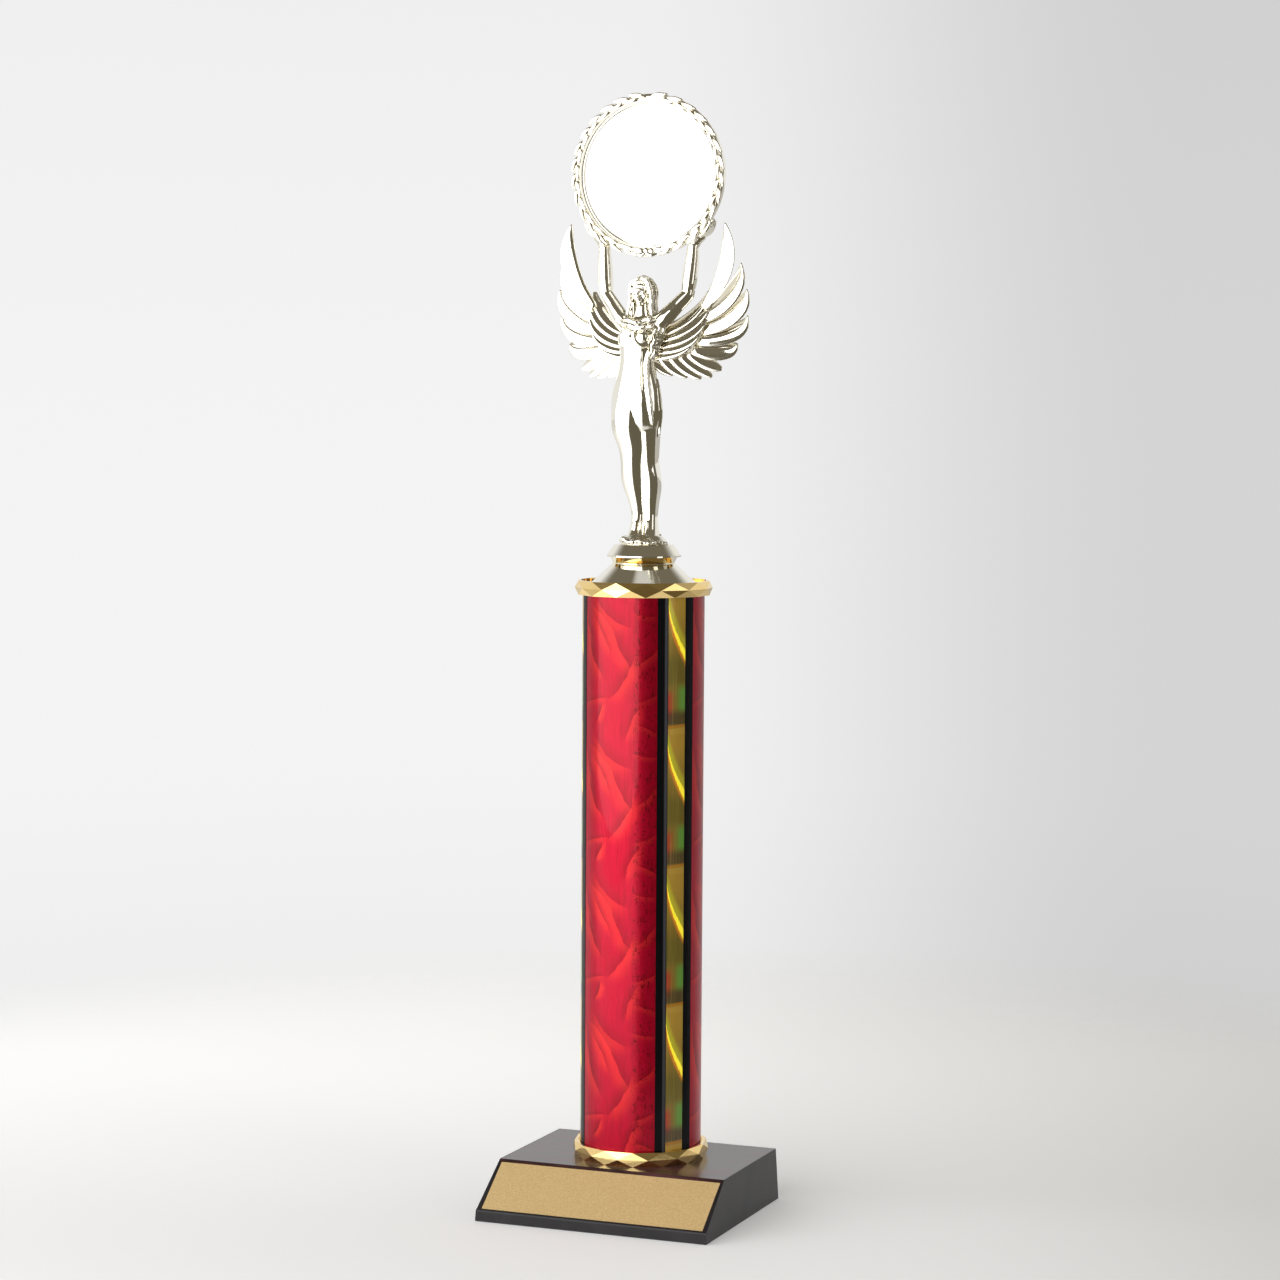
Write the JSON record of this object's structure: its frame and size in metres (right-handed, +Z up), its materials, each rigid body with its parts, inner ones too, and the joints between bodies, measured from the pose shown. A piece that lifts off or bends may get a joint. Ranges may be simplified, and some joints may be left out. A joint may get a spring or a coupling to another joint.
{
  "type": "column trophy",
  "caption": "Trophy with a winged figure holding a round insert, on a film-wrapped column between faceted collars and a sloped base with a name plate.",
  "frame": {"origin": "middle of the base's footprint, on the surface the trophy stands on", "axes": "+Z up along the column, -Y towards the front, where the name plate, the figure and the insert face"},
  "size_m": [0.0888, 0.0762, 0.4055],
  "materials": {
    "base_plastic": "satin black moulded plastic",
    "woodgrain": "hot-stamped dark rosewood grain, semi-gloss",
    "cast_fill": "cast cement",
    "pad_felt": "black felt",
    "tape": "double-sided tape",
    "plate_gold": "satin gold anodised sheet",
    "zinc_steel": "zinc plated",
    "gold_plated": "vacuum-metallised yellow gold on moulded plastic, mirror bright",
    "champagne_plated": "vacuum-metallised pale gold on moulded plastic, mirror bright",
    "tube_board": "plain extruded tube",
    "red_foil": "crimson holographic film",
    "gold_foil": "gold holographic film",
    "black_foil": "gloss black stripe",
    "insert_white": "plain white"
  },
  "bodies": {
    "base": {"base_shell": "base_plastic", "woodgrain_foil": "woodgrain", "base_weight": "cast_fill", "base_pad": "pad_felt", "plate_tape": "tape", "name_plate": "plate_gold", "tie_rod": "zinc_steel", "lower_collar": "gold_plated", "upper_collar": "gold_plated", "riser_cone": "champagne_plated"},
    "column": {"column_tube": "tube_board", "red_film": "red_foil", "gold_stripes": "gold_foil", "black_stripes": "black_foil"},
    "washer": {"bottom_washer": "zinc_steel"},
    "nut": {"bottom_nut": "zinc_steel"},
    "lock_washer": {"figure_lock_washer": "zinc_steel"},
    "figure": {"figure_pedestal": "champagne_plated", "captive_nut": "zinc_steel", "figure_body": "champagne_plated", "left_wing": "champagne_plated", "right_wing": "champagne_plated", "wreath_ring": "champagne_plated", "insert_tape": "tape", "insert_disc": "insert_white"}
  },
  "joints": [
    {"name": "column_turn", "type": "hinge", "parent": "base", "child": "column", "pos_m": [0, 0.0107, 0.0241], "axis": [0, 0, 1], "continuous": true},
    {"name": "washer_drop", "type": "slide", "parent": "base", "child": "washer", "axis": [0, 0, -1], "range_m": [0, 0.00635]},
    {"name": "nut_turn", "type": "hinge", "parent": "washer", "child": "nut", "pos_m": [0, 0.0107, 0.0105], "axis": [0, 0, -1], "range_deg": [0, 1801]},
    {"name": "figure_unscrew", "type": "hinge", "parent": "base", "child": "lock_washer", "pos_m": [0, 0.0107, 0.2363], "axis": [0, 0, 1], "range_deg": [0, 1440]},
    {"name": "figure_lift", "type": "slide", "parent": "lock_washer", "child": "figure", "axis": [0, 0, 1], "range_m": [0, 0.00508]}
  ],
  "couplings": [
    {"joint": "nut_turn", "follows": "washer_drop", "rad_per_m": 4947.4},
    {"joint": "figure_lift", "follows": "figure_unscrew", "m_per_rad": 0.00020213}
  ]
}
